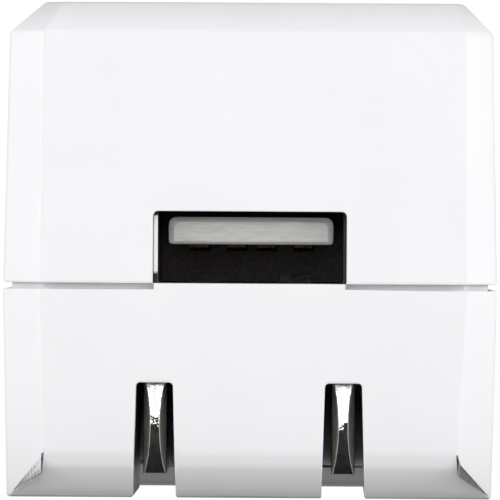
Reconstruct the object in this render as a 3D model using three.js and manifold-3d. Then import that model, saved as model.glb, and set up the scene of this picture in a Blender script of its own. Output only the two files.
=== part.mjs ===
// USB wall charger with two folding blades.
// Millimetres. +Z is up, X runs to the right and Y to the back as the port is faced.
// The origin is the middle of the case's outline, on the flat wall face at z = 0.
import * as THREE from 'three';
import { ConvexGeometry } from 'three/addons/geometries/ConvexGeometry.js';
import { mergeVertices } from 'three/addons/utils/BufferGeometryUtils.js';
import Module from 'manifold-3d';

const wasm = await Module();
wasm.setup();

const DEGREE = Math.PI / 180;

// ---- Driving dimensions ---------------------------------------------------

// Case, measured at the parting line
const CASE_WIDTH = 33.3;
const CASE_DEPTH = 34.0;
const CASE_HEIGHT = 33.4;
const WALL = 2.0;
const FLOOR = 1.8;
const PARTING_Z = 14.05;
const REVEAL_HEIGHT = 0.42;
const REVEAL_DEPTH = 0.6;
const UPPER_DRAFT = 1.2 * DEGREE;
const LOWER_DRAFT = 1.3 * DEGREE;
const CORNER_CHAMFERS = [2.55, 2.0];
const FOOT_CHAMFERS = [2.8, 2.7];
const SMALLEST_CHAMFER = 0.2;
const TOP_CHAMFER_DROP = 2.05;
const TOP_CHAMFER_RUN = 2.0;
const TOP_CHAMFER_RUN_LEFT = 2.4;
const NOSE_CHAMFER_DROP = 2.5;
const NOSE_CHAMFER_RUN = 2.45;
const NOSE_EASE = 0.8;
const LIP_INSET = 1.1;
const LIP_HEIGHT = 1.43;
const LIP_CLEARANCE = 0.12;
const CEILING_CHAMFER = 1.3;

// Blades, on the spacing and section of an ungrounded two-blade plug
const BLADE_SPACING = 12.7;
const BLADE_THICKNESS = 1.5;
const BLADE_WIDTH = 6.35;
const BLADE_REACH = 22.4;
const BLADE_TIP_CROWN = 1.2;
const BLADE_TIP_THICKNESS = 0.72;
const BLADE_HOLE_RADIUS = 1.6;
const BLADE_HOLE_FROM_FACE = 11.9;
const TIP_RECESS = 2.4;
const TAIL_WIDTH = 3.0;
const TAIL_PROUD = 0.9;

// Slots in the front wall and channels behind it
const SLOT_HEIGHT = 7.8;
const SLOT_CLEARANCE_TOP = 0.5;
const SLOT_CLEARANCE_BOTTOM = 0.7;
const SLOT_CORNER_RADIUS = 0.33;
const CHANNEL_WALL = 1.2;
const CHANNEL_HEADROOM = 0.4;

// Rotor that the blades are moulded into
const BARREL_RADIUS = 4.5;
const BARREL_LENGTH = 18.6;
const BARREL_CHAMFER = 0.3;
const JOURNAL_RADIUS = 2.0;
const JOURNAL_LENGTH = 2.6;
const JOURNAL_CLEARANCE = 0.1;
const BARREL_GROUND_CLEARANCE = 0.3;
const WINDOW_CLEARANCE = 0.4;
const END_CLEARANCE = 0.2;
const CAM_DEPTH = 0.5;
const CAM_WIDTH = 6.4;

// Rotor clamp and its screws
const SADDLE_WIDTH = 2.7;
const SADDLE_LENGTH = 9.0;
const CLAMP_HEIGHT = 2.8;
const CLAMP_BAR_THICKNESS = 1.0;
const CLAMP_BAR_DEPTH = 1.45;
const CLAMP_GAP = 0.05;
const SCREW_RADIUS = 0.7;
const SCREW_LENGTH = 4.6;
const SCREW_HEAD_RADIUS = 1.25;
const SCREW_HEAD_HEIGHT = 0.8;
const SCREW_CLEARANCE = 0.1;

// Leaf springs, and the cheeks that hold the detent's foot
const SPRING_THICKNESS = 0.3;
const DETENT_WIDTH = 5.0;
const CONTACT_SPRING_WIDTH = 3.0;
const SPRING_GAP = 0.05;
const DETENT_FOOT = 2.0;
const DETENT_RISE = 3.2;
const DETENT_FLARE_HEIGHT = 1.0;
const DETENT_FLARE_DEPTH = 0.6;
const CHEEK_GAP = 0.2;
const CHEEK_THICKNESS = 1.0;
const CHEEK_DEPTH = 1.6;
const CHEEK_HEIGHT = 2.2;

// Port and receptacle, on the sizes of a USB A socket
const PORT_WIDTH = 13.02;
const PORT_HEIGHT = 4.87;
const PORT_CORNER_RADIUS = 0.4;
const PORT_LIP = 0.95;
const PORT_SIDE_GAP = 0.08;
const PORT_FLOOR_DROP = 0.02;
const RECEPTACLE_OFFSET = 0.06;
const RECEPTACLE_INNER_WIDTH = 12.5;
const RECEPTACLE_INNER_HEIGHT = 5.12;
const RECEPTACLE_LENGTH = 14.0;
const RECEPTACLE_CORNER_RADIUS = 0.35;
const RECEPTACLE_CLEARANCE = 0.3;
const SHELL_SHEET = 0.3;
const SHELL_BEHIND_LIP = 0.15;
const TONGUE_WIDTH = 11.1;
const TONGUE_HEIGHT = 1.84;
const TONGUE_ABOVE_SHELL = 2.6;
const TONGUE_RECESS = 0.7;
const TONGUE_CORNER_RADIUS = 0.6;
const TONGUE_EDGE_CHAMFER = 0.35;
const CARRIER_LENGTH = 4.4;
const CARRIER_CLEARANCE = 0.05;
const CONTACT_WIDTH = 1.25;
const CONTACT_SHEET = 0.2;
const CONTACT_PLACES = [-3.5, -1.0, 1.0, 3.5];
const GROUND_TAB_WIDTH = 2.1;
const GROUND_TAB_HEIGHT = 0.6;
const GROUND_TAB_PLACE = 3.05;

// Circuit board
const BOARD_THICKNESS = 1.2;
const BOARD_EDGE_CLEARANCE = 0.45;
const BOARD_CORNER_CUT = 1.6;
const BOARD_BELOW_PORT = 0.25;
const POST_SIZE = 2.6;
const POST_ROOT = 0.1;
const RIB_THICKNESS = 1.0;
const RIB_LENGTH = 1.6;
const RIB_GAP = 0.1;
const PART_GAP = 0.3;

// Board parts
const BULK_CAPACITOR_RADIUS = 4.0;
const BULK_CAPACITOR_LENGTH = 14.0;
const OUTPUT_CAPACITOR_RADIUS = 3.15;
const OUTPUT_CAPACITOR_LENGTH = 11.0;
const CHOKE_RADIUS = 2.6;
const CHOKE_HEIGHT = 7.0;
const CHOKE_WAIST = 1.4;
const CHOKE_FLANGE = 1.1;
const WIRE_INSET = 0.15;
const CORE_WIDTH = 13.0;
const CORE_DEPTH = 12.0;
const CORE_HEIGHT = 6.0;
const CORE_OFFSET = 2.2;
const CORE_PLATE = 2.0;
const CORE_LEG = 3.2;
const CORE_CLEARANCE = 0.1;
const BOBBIN_WALL = 0.6;
const BOBBIN_FLANGE = 0.8;
const BOBBIN_HEIGHT = 13.2;
const WINDING_INSET = 0.5;
const WINDING_CORNER_RADIUS = 1.2;
const RESISTOR_RADIUS = 1.7;
const RESISTOR_LENGTH = 8.0;
const DIODE_RADIUS = 1.35;
const DIODE_LENGTH = 5.2;
const LEAD_RADIUS = 0.3;
const DISC_RADIUS = 3.5;
const DISC_THICKNESS = 2.6;
const CHIP_HEIGHT = 1.5;
const CHIP_DRAFT = 0.15;
const CHIP_STANDOFF = 0.1;
const CHIP_LEG_WIDTH = 0.4;
const CHIP_LEG_SHEET = 0.2;
const CONTROLLER_LENGTH = 4.9;
const CONTROLLER_WIDTH = 3.9;
const RECTIFIER_LENGTH = 4.7;
const RECTIFIER_WIDTH = 3.8;
const RECTIFIER_FROM_EDGE = 3.4;
const SHEET_THICKNESS = 0.4;

// ---- Places worked out from them ------------------------------------------

const FRONT = -CASE_DEPTH / 2;
const UPPER_Z = PARTING_Z + REVEAL_HEIGHT;
const LIP_TOP = UPPER_Z + LIP_HEIGHT;
const CEILING = CASE_HEIGHT - WALL;
const INSIDE_X = CASE_WIDTH / 2 - WALL;
const INSIDE_Y = CASE_DEPTH / 2 - WALL;
const INSIDE_CHAMFER = Math.max(...CORNER_CHAMFERS) - WALL * (2 - Math.SQRT2);

const PIVOT_Y = FRONT + TIP_RECESS + BLADE_REACH;
const PIVOT_Z = BARREL_RADIUS + BARREL_GROUND_CLEARANCE;
const BLADE_X = BLADE_SPACING / 2;
const BARREL_END = BARREL_LENGTH / 2;
const SADDLE_X = BARREL_END + END_CLEARANCE;
const WINDOW_HALF = Math.sqrt(BARREL_RADIUS ** 2 - (PIVOT_Z - FLOOR) ** 2) + WINDOW_CLEARANCE;
const TAIL_REACH = BARREL_RADIUS + TAIL_PROUD;
const SHOULDER_Y = BARREL_RADIUS / 2;
const CHANNEL_TOP = PIVOT_Z + BLADE_WIDTH / 2 + CHANNEL_HEADROOM;
const SLOT_HALF_TOP = BLADE_THICKNESS / 2 + SLOT_CLEARANCE_TOP;
const SLOT_HALF_BOTTOM = BLADE_THICKNESS / 2 + SLOT_CLEARANCE_BOTTOM;
const CLAMP_BOTTOM = PIVOT_Z + CLAMP_GAP;
const CLAMP_BAR_BOTTOM = PIVOT_Z + BARREL_RADIUS - 0.1;
const SCREW_X = SADDLE_X + SADDLE_WIDTH / 2;
const SCREW_Y = PIVOT_Y + JOURNAL_RADIUS + (SADDLE_LENGTH / 2 - JOURNAL_RADIUS) / 2;

const PORT_FLOOR = UPPER_Z - PORT_FLOOR_DROP;
const PORT_TOP = PORT_FLOOR + PORT_HEIGHT;
const LIP_BACK = FRONT + PORT_LIP;
const BOARD_TOP = PORT_FLOOR - BOARD_BELOW_PORT;
const BOARD_BOTTOM = BOARD_TOP - BOARD_THICKNESS;
const BOARD_X = INSIDE_X - BOARD_EDGE_CLEARANCE;
const BOARD_Y = INSIDE_Y - BOARD_EDGE_CLEARANCE;
const SHELL_FRONT = LIP_BACK + SHELL_BEHIND_LIP;
const SHELL_BACK = SHELL_FRONT + RECEPTACLE_LENGTH;
const SHELL_INSIDE = BOARD_TOP + SHELL_SHEET;
const SHELL_TOP = SHELL_INSIDE + RECEPTACLE_INNER_HEIGHT + SHELL_SHEET;
const SHELL_HALF = RECEPTACLE_INNER_WIDTH / 2 + SHELL_SHEET;
const TONGUE_BOTTOM = SHELL_INSIDE + TONGUE_ABOVE_SHELL;
const CARRIER_FRONT = SHELL_BACK - CARRIER_LENGTH;
const SHEET_Y = SHELL_BACK + PART_GAP;
const CORE_X = CORE_OFFSET;
const CORE_Y = SHEET_Y + SHEET_THICKNESS + PART_GAP + CORE_DEPTH / 2;
const CORE_Z = BOARD_TOP + BOBBIN_HEIGHT / 2;

// ---- Shaping helpers ------------------------------------------------------

// A three.js geometry as a solid that can be joined and cut.
function solid(geometry) {
  const bare = geometry.index ? geometry.toNonIndexed() : geometry.clone();
  bare.deleteAttribute('normal');
  bare.deleteAttribute('uv');
  const merged = mergeVertices(bare, 1e-5);
  return new wasm.Manifold(new wasm.Mesh({
    numProp: 3,
    vertProperties: new Float32Array(merged.attributes.position.array),
    triVerts: new Uint32Array(merged.index.array),
  }));
}

function geometryOf(shape) {
  const mesh = shape.getMesh();
  const geometry = new THREE.BufferGeometry();
  geometry.setAttribute('position', new THREE.BufferAttribute(mesh.vertProperties, 3));
  geometry.setIndex(new THREE.BufferAttribute(mesh.triVerts, 1));
  geometry.computeVertexNormals();
  return geometry;
}

function unite(shapes) {
  return shapes.reduce((whole, shape) => whole.add(shape));
}

function cut(body, tools) {
  return tools.reduce((left, tool) => left.subtract(tool), body);
}

function span(a, b) {
  return [Math.min(a, b), Math.max(a, b)];
}

function box(xs, ys, zs) {
  const geometry = new THREE.BoxGeometry(xs[1] - xs[0], ys[1] - ys[0], zs[1] - zs[0]);
  geometry.translate((xs[0] + xs[1]) / 2, (ys[0] + ys[1]) / 2, (zs[0] + zs[1]) / 2);
  return solid(geometry);
}

// An outline drawn in Y and Z, extruded along X.
function prismX(shape, xs, curveSegments = 12) {
  const options = { depth: xs[1] - xs[0], bevelEnabled: false, curveSegments };
  const geometry = new THREE.ExtrudeGeometry(shape, options);
  const basis = new THREE.Matrix4();
  basis.makeBasis(
    new THREE.Vector3(0, 1, 0),
    new THREE.Vector3(0, 0, 1),
    new THREE.Vector3(1, 0, 0),
  );
  geometry.applyMatrix4(basis);
  geometry.translate(xs[0], 0, 0);
  return solid(geometry);
}

// An outline drawn in X and Z, extruded along Y.
function prismY(shape, ys, curveSegments = 6) {
  const options = { depth: ys[1] - ys[0], bevelEnabled: false, curveSegments };
  const geometry = new THREE.ExtrudeGeometry(shape, options);
  geometry.rotateX(Math.PI / 2);
  geometry.translate(0, ys[1], 0);
  return solid(geometry);
}

// An outline drawn in X and Y, extruded along Z.
function prismZ(shape, zs) {
  const options = { depth: zs[1] - zs[0], bevelEnabled: false };
  const geometry = new THREE.ExtrudeGeometry(shape, options);
  geometry.translate(0, 0, zs[0]);
  return solid(geometry);
}

// A profile of [radius, height] pairs turned about Z.
function turned(profile, segments = 24) {
  const points = profile.map(([radius, height]) => new THREE.Vector2(radius, height));
  const geometry = new THREE.LatheGeometry(points, segments);
  geometry.rotateX(Math.PI / 2);
  return solid(geometry);
}

function rod(radius, length, segments = 12) {
  return turned([[0, 0], [radius, 0], [radius, length], [0, length]], segments);
}

function outline(points) {
  return new THREE.Shape(points.map(([u, v]) => new THREE.Vector2(u, v)));
}

function rectangle(us, vs, radius) {
  const shape = new THREE.Shape();
  shape.moveTo(us[0] + radius, vs[0]);
  shape.lineTo(us[1] - radius, vs[0]);
  shape.absarc(us[1] - radius, vs[0] + radius, radius, -Math.PI / 2, 0);
  shape.absarc(us[1] - radius, vs[1] - radius, radius, 0, Math.PI / 2);
  shape.absarc(us[0] + radius, vs[1] - radius, radius, Math.PI / 2, Math.PI);
  shape.absarc(us[0] + radius, vs[0] + radius, radius, Math.PI, Math.PI * 1.5);
  return shape;
}

// An opening with a flat sill and rounded upper corners; its jambs may lean.
function archway(halfBottom, halfTop, bottom, top, radius) {
  const shape = new THREE.Shape();
  shape.moveTo(-halfBottom, bottom);
  shape.lineTo(halfBottom, bottom);
  shape.lineTo(halfTop, top - radius);
  shape.quadraticCurveTo(halfTop, top, halfTop - radius, top);
  shape.lineTo(radius - halfTop, top);
  shape.quadraticCurveTo(-halfTop, top, -halfTop, top - radius);
  return shape;
}

// A bent strip of even thickness along a line of [u, v] points.
function strip(points, thickness) {
  const line = points.map(([u, v]) => new THREE.Vector2(u, v));
  const last = line.length - 1;
  const edge = (side) => line.map((point, i) => {
    const into = line[Math.max(i, 1)].clone().sub(line[Math.max(i, 1) - 1]).normalize();
    const onward = line[Math.min(i, last - 1) + 1].clone();
    onward.sub(line[Math.min(i, last - 1)]).normalize();
    const middle = into.clone().add(onward).normalize();
    const reach = (side * thickness) / 2 / middle.dot(into);
    return new THREE.Vector2(point.x - middle.y * reach, point.y + middle.x * reach);
  });
  return new THREE.Shape([...edge(-1), ...edge(1).reverse()]);
}

// The case's eight-sided outline at a height, moved in from the parting line's outline.
// The left side may be moved in by its own amount; chamfers holds the left and right corners'.
function level(z, inset, left = inset, chamfers = CORNER_CHAMFERS) {
  const y = CASE_DEPTH / 2 - inset;
  const corners = [];
  for (const [sideX, sideY] of [[1, 1], [-1, 1], [-1, -1], [1, -1]]) {
    const x = CASE_WIDTH / 2 - (sideX < 0 ? left : inset);
    const full = chamfers[sideX < 0 ? 0 : 1];
    const chamfer = Math.max(full - inset * (2 - Math.SQRT2), SMALLEST_CHAMFER);
    corners.push(new THREE.Vector3(sideX * x, sideY * (y - chamfer), z));
    corners.push(new THREE.Vector3(sideX * (x - chamfer), sideY * y, z));
  }
  return corners;
}

function loft(levels) {
  return solid(new ConvexGeometry(levels.flat()));
}

// ---- Case -----------------------------------------------------------------

function upperCaseOutside() {
  const chamferZ = CASE_HEIGHT - TOP_CHAMFER_DROP;
  const draft = (chamferZ - UPPER_Z) * Math.tan(UPPER_DRAFT);
  return loft([
    level(UPPER_Z, 0),
    level(chamferZ, draft),
    level(CASE_HEIGHT, draft + TOP_CHAMFER_RUN, draft + TOP_CHAMFER_RUN_LEFT),
  ]);
}

function upperCaseInside() {
  const shoulder = CEILING - CEILING_CHAMFER;
  const draft = (shoulder - UPPER_Z) * Math.tan(UPPER_DRAFT);
  return loft([
    level(UPPER_Z - 1, WALL),
    level(UPPER_Z, WALL),
    level(shoulder, WALL + draft),
    level(CEILING, WALL + draft + CEILING_CHAMFER),
  ]);
}

// Four ribs that hold the board down on its posts.
function holdDownRibs() {
  const ribs = [];
  for (const sideX of [-1, 1]) {
    for (const sideY of [-1, 1]) {
      const far = INSIDE_Y - INSIDE_CHAMFER - LIP_CLEARANCE;
      const ys = span(sideY * (far - RIB_LENGTH), sideY * far);
      const face = sideX * (INSIDE_X - RIB_THICKNESS);
      const above = span(sideX * (INSIDE_X + WALL / 2), face);
      const below = span(sideX * (INSIDE_X - LIP_CLEARANCE), face);
      ribs.push(box(above, ys, [LIP_TOP + LIP_CLEARANCE, CEILING - 1]));
      ribs.push(box(below, ys, [BOARD_TOP + RIB_GAP, LIP_TOP + 1]));
    }
  }
  return ribs;
}

// The room that the front wall leaves for the receptacle, between two heights.
function receptacleRoom(zs) {
  const half = SHELL_HALF + RECEPTACLE_CLEARANCE;
  return box([RECEPTACLE_OFFSET - half, RECEPTACLE_OFFSET + half], [LIP_BACK, -INSIDE_Y + 1], zs);
}

function upperCase() {
  const rebate = loft([
    level(UPPER_Z - 1, LIP_INSET - LIP_CLEARANCE),
    level(LIP_TOP + LIP_CLEARANCE, LIP_INSET - LIP_CLEARANCE),
  ]);
  const opening = prismY(
    archway(PORT_WIDTH / 2, PORT_WIDTH / 2, UPPER_Z - 1, PORT_TOP, PORT_CORNER_RADIUS),
    [FRONT - 1, LIP_BACK + 0.1],
  );
  const pocket = receptacleRoom([UPPER_Z - 1, SHELL_TOP + RECEPTACLE_CLEARANCE]);
  const shell = cut(upperCaseOutside(), [upperCaseInside(), rebate]);
  return cut(unite([shell, ...holdDownRibs()]), [opening, pocket]);
}

function lowerCaseOutside() {
  const draft = PARTING_Z * Math.tan(LOWER_DRAFT);
  const body = loft([level(0, draft, draft, FOOT_CHAMFERS), level(PARTING_Z, 0)]);
  const neck = loft([level(PARTING_Z - 1, REVEAL_DEPTH), level(UPPER_Z, REVEAL_DEPTH)]);
  const lip = loft([level(PARTING_Z - 1, LIP_INSET), level(LIP_TOP, LIP_INSET)]);
  const sill = box(
    [PORT_SIDE_GAP - PORT_WIDTH / 2, PORT_WIDTH / 2 - PORT_SIDE_GAP],
    [FRONT, FRONT + WALL],
    [PARTING_Z, PORT_FLOOR],
  );
  return unite([body, neck, lip, sill]);
}

function lowerCaseInside() {
  const draft = (PARTING_Z - FLOOR) * Math.tan(LOWER_DRAFT);
  return loft([
    level(FLOOR, WALL + draft),
    level(PARTING_Z, WALL),
    level(LIP_TOP + 1, WALL),
  ]);
}

// The slope between the front wall and the wall face, eased into the wall above it.
function noseChamfer() {
  const wallAt = (z) => FRONT + (PARTING_Z - z) * Math.tan(LOWER_DRAFT);
  const corner = new THREE.Vector2(wallAt(NOSE_CHAMFER_DROP), NOSE_CHAMFER_DROP);
  const foot = new THREE.Vector2(wallAt(0) + NOSE_CHAMFER_RUN, 0);
  const down = foot.clone().sub(corner).normalize();
  const start = new THREE.Vector2(wallAt(NOSE_CHAMFER_DROP + NOSE_EASE), NOSE_CHAMFER_DROP + NOSE_EASE);
  const end = corner.clone().addScaledVector(down, NOSE_EASE);
  const below = foot.clone().addScaledVector(down, 1);
  const shape = new THREE.Shape();
  shape.moveTo(start.x, start.y);
  shape.quadraticCurveTo(corner.x, corner.y, end.x, end.y);
  shape.lineTo(below.x, below.y);
  shape.lineTo(FRONT - 1, below.y);
  shape.lineTo(FRONT - 1, start.y);
  return prismX(shape, [-CASE_WIDTH, CASE_WIDTH], 6);
}

function postBlocks() {
  const posts = [];
  for (const sideX of [-1, 1]) {
    for (const sideY of [-1, 1]) {
      const xs = span(sideX * (INSIDE_X - POST_SIZE), sideX * (INSIDE_X + POST_ROOT));
      const ys = span(sideY * (INSIDE_Y - POST_SIZE), sideY * (INSIDE_Y + POST_ROOT));
      posts.push(box(xs, ys, [FLOOR / 2, BOARD_BOTTOM]));
    }
  }
  return posts;
}

function saddleXs(side) {
  return span(side * SADDLE_X, side * (SADDLE_X + SADDLE_WIDTH));
}

// How far the saddles reach along Y
const SADDLE_YS = [PIVOT_Y - SADDLE_LENGTH / 2, PIVOT_Y + SADDLE_LENGTH / 2];

// A round bore along X about the pivot, through both saddles.
function journalBore() {
  const radius = JOURNAL_RADIUS + JOURNAL_CLEARANCE;
  const end = SADDLE_X + SADDLE_WIDTH + JOURNAL_CLEARANCE;
  const bore = turned([[0, -end], [radius, -end], [radius, end], [0, end]], 32);
  return bore.rotate([0, 90, 0]).translate([0, PIVOT_Y, PIVOT_Z]);
}

function screwBore(side, bottom, top) {
  const bore = rod(SCREW_RADIUS + SCREW_CLEARANCE, top - bottom, 16);
  return bore.translate([side * SCREW_X, SCREW_Y, bottom]);
}

// A slot's outline, carried on below the wall face so that it cuts clean through.
function slotOutline(top) {
  const beyond = 1 / 8;
  const half = SLOT_HALF_BOTTOM + (SLOT_HALF_BOTTOM - SLOT_HALF_TOP) * beyond;
  return archway(half, SLOT_HALF_TOP, -SLOT_HEIGHT * beyond, top, SLOT_CORNER_RADIUS);
}

// What one blade needs of the case: a walled housing, and the slot and channel cut from it.
function bladeSide(side) {
  const housingHalf = SLOT_HALF_BOTTOM + CHANNEL_WALL;
  const housing = box(
    [side * BLADE_X - housingHalf, side * BLADE_X + housingHalf],
    [FRONT + WALL / 2, PIVOT_Y - BARREL_RADIUS - WINDOW_CLEARANCE],
    [FLOOR / 2, CHANNEL_TOP + CHANNEL_WALL],
  );
  const slot = prismY(slotOutline(SLOT_HEIGHT), [FRONT - 1, FRONT + WALL + 0.1]);
  const channel = prismY(slotOutline(CHANNEL_TOP), [FRONT + WALL, PIVOT_Y]);
  const along = [side * BLADE_X, 0, 0];
  return { housing, openings: [slot.translate(along), channel.translate(along)] };
}

// Two cheeks behind the rotor that hold the detent spring's foot.
function springCheeks() {
  const front = PIVOT_Y + BARREL_RADIUS + WINDOW_CLEARANCE;
  const inner = DETENT_WIDTH / 2 + CHEEK_GAP;
  return [-1, 1].map((side) => box(
    span(side * inner, side * (inner + CHEEK_THICKNESS)),
    [front, front + CHEEK_DEPTH],
    [FLOOR / 2, FLOOR + CHEEK_HEIGHT],
  ));
}

function lowerCase() {
  const sides = [-1, 1].map(bladeSide);
  const saddles = [-1, 1].map((side) => box(saddleXs(side), SADDLE_YS, [FLOOR / 2, PIVOT_Z]));
  const window = box(
    [-SADDLE_X, SADDLE_X],
    [PIVOT_Y - WINDOW_HALF, PIVOT_Y + WINDOW_HALF],
    [-1, FLOOR + 0.1],
  );
  const shell = cut(lowerCaseOutside(), [lowerCaseInside()]);
  const filled = unite([
    shell,
    ...postBlocks(),
    ...saddles,
    ...springCheeks(),
    ...sides.map((side) => side.housing),
  ]);
  return cut(filled, [
    window,
    receptacleRoom([PARTING_Z, LIP_TOP + 1]),
    journalBore(),
    ...sides.flatMap((side) => side.openings),
    ...[-1, 1].map((side) => screwBore(side, FLOOR, PIVOT_Z + 1)),
    noseChamfer(),
  ]);
}

// ---- Rotor, blades and what holds them ------------------------------------

// Drawn about the pivot, with the blades folded forwards.
function rotor() {
  const end = BARREL_END + JOURNAL_LENGTH;
  const barrel = turned([
    [0, -end],
    [JOURNAL_RADIUS, -end],
    [JOURNAL_RADIUS, -BARREL_END],
    [BARREL_RADIUS - BARREL_CHAMFER, -BARREL_END],
    [BARREL_RADIUS, BARREL_CHAMFER - BARREL_END],
    [BARREL_RADIUS, BARREL_END - BARREL_CHAMFER],
    [BARREL_RADIUS - BARREL_CHAMFER, BARREL_END],
    [JOURNAL_RADIUS, BARREL_END],
    [JOURNAL_RADIUS, end],
    [0, end],
  ], 48).rotate([0, 90, 0]);
  const cam = [-CAM_WIDTH / 2, CAM_WIDTH / 2];
  const flat = BARREL_RADIUS - CAM_DEPTH;
  const far = BARREL_RADIUS + 1;
  const flats = [
    box(cam, [flat, far], [-far, far]),
    box(cam, [-far, far], [-far, -flat]),
  ];
  const bladeSlots = [-1, 1].flatMap((side) => {
    const xs = [side * BLADE_X - BLADE_THICKNESS / 2, side * BLADE_X + BLADE_THICKNESS / 2];
    return [
      box(xs, [-far, SHOULDER_Y], [-BLADE_WIDTH / 2, BLADE_WIDTH / 2]),
      box(xs, [SHOULDER_Y - 0.1, far], [-TAIL_WIDTH / 2, TAIL_WIDTH / 2]),
    ];
  });
  return cut(barrel, [...flats, ...bladeSlots]);
}

function bladeOutline() {
  const half = BLADE_WIDTH / 2;
  const tail = TAIL_WIDTH / 2;
  const tailTurn = Math.asin(tail / TAIL_REACH);
  const tipRadius = (half ** 2 + BLADE_TIP_CROWN ** 2) / (2 * BLADE_TIP_CROWN);
  const tipTurn = Math.asin(half / tipRadius);
  const shape = new THREE.Shape();
  shape.moveTo(SHOULDER_Y, -half);
  shape.lineTo(SHOULDER_Y, -tail);
  shape.absarc(0, 0, TAIL_REACH, -tailTurn, tailTurn);
  shape.lineTo(SHOULDER_Y, tail);
  shape.lineTo(SHOULDER_Y, half);
  shape.absarc(tipRadius - BLADE_REACH, 0, tipRadius, Math.PI - tipTurn, Math.PI + tipTurn);
  const hole = new THREE.Path();
  hole.absarc(-PIVOT_Z - BLADE_HOLE_FROM_FACE, 0, BLADE_HOLE_RADIUS, 0, 2 * Math.PI, true);
  shape.holes.push(hole);
  return shape;
}

// The blade is cut by two slopes at its tip, so its crowned end narrows to a waist.
function blade() {
  const half = BLADE_THICKNESS / 2;
  const waist = BLADE_TIP_THICKNESS / 2;
  const body = prismX(bladeOutline(), [-half, half], 16);
  const slope = (half - waist) / BLADE_TIP_CROWN;
  const beyond = 1;
  const wedge = prismZ(outline([
    [waist - slope * beyond, -BLADE_REACH - beyond],
    [half + slope * beyond, -BLADE_REACH - beyond],
    [half + slope * beyond, -BLADE_REACH + BLADE_TIP_CROWN + beyond],
  ]), [-BLADE_WIDTH, BLADE_WIDTH]);
  return cut(body, [wedge, wedge.mirror([1, 0, 0])]);
}

function rotorClamp() {
  const barYs = [PIVOT_Y - WINDOW_HALF + 0.1, PIVOT_Y - WINDOW_HALF + 0.1 + CLAMP_BAR_DEPTH];
  const barTop = CLAMP_BAR_BOTTOM + CLAMP_BAR_THICKNESS;
  const ends = [-1, 1].flatMap((side) => [
    box(saddleXs(side), SADDLE_YS, [CLAMP_BOTTOM, CLAMP_BOTTOM + CLAMP_HEIGHT]),
    box(saddleXs(side), barYs, [CLAMP_BOTTOM, barTop]),
  ]);
  const reach = SADDLE_X + SADDLE_WIDTH;
  const bar = box([-reach, reach], barYs, [CLAMP_BAR_BOTTOM, barTop]);
  const top = CLAMP_BOTTOM + CLAMP_HEIGHT + 1;
  return cut(unite([...ends, bar]), [
    journalBore(),
    ...[-1, 1].map((side) => screwBore(side, CLAMP_BOTTOM - 1, top)),
  ]);
}

// Its seat is at z = 0, with the thread below and the head, with a cross recess, above.
function screw() {
  const recess = SCREW_HEAD_HEIGHT * 0.6;
  const arm = SCREW_HEAD_RADIUS * 0.6;
  const armHalf = 0.15;
  const body = turned([
    [0, -SCREW_LENGTH],
    [SCREW_RADIUS * 0.5, -SCREW_LENGTH],
    [SCREW_RADIUS, -SCREW_LENGTH + 0.7],
    [SCREW_RADIUS, 0],
    [SCREW_HEAD_RADIUS, 0],
    [SCREW_HEAD_RADIUS, SCREW_HEAD_HEIGHT * 0.5],
    [SCREW_HEAD_RADIUS * 0.7, SCREW_HEAD_HEIGHT],
    [0, SCREW_HEAD_HEIGHT],
  ], 16);
  return cut(body, [
    box([-arm, arm], [-armHalf, armHalf], [recess, SCREW_HEAD_HEIGHT + 1]),
    box([-armHalf, armHalf], [-arm, arm], [recess, SCREW_HEAD_HEIGHT + 1]),
  ]);
}

// A leaf that stands behind the rotor and rests on its flat.
function detentSpring() {
  const face = PIVOT_Y + BARREL_RADIUS - CAM_DEPTH + SPRING_GAP + SPRING_THICKNESS / 2;
  const foot = FLOOR + SPRING_THICKNESS / 2;
  const shape = strip([
    [face + DETENT_FOOT, foot],
    [face, foot],
    [face, PIVOT_Z + DETENT_RISE],
    [face + DETENT_FLARE_DEPTH, PIVOT_Z + DETENT_RISE + DETENT_FLARE_HEIGHT],
  ], SPRING_THICKNESS);
  return prismX(shape, [-DETENT_WIDTH / 2, DETENT_WIDTH / 2]);
}

// A leaf under the board that the blade's tail meets once the blade is out.
function contactSpring() {
  const touch = PIVOT_Z + TAIL_REACH + SPRING_GAP + SPRING_THICKNESS / 2;
  const pad = BOARD_BOTTOM - SPRING_THICKNESS / 2;
  const [padFrom, padTo, touchFrom, touchTo, end] = [-8.8, -6.2, -1.4, 0.8, 2.4];
  const shape = strip([
    [PIVOT_Y + padFrom, pad],
    [PIVOT_Y + padTo, pad],
    [PIVOT_Y + touchFrom, touch + 0.1],
    [PIVOT_Y + touchTo, touch],
    [PIVOT_Y + end, touch + 0.7],
  ], SPRING_THICKNESS);
  return prismX(shape, [-CONTACT_SPRING_WIDTH / 2, CONTACT_SPRING_WIDTH / 2]);
}

// ---- Receptacle, drawn about its own middle -------------------------------

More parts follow.
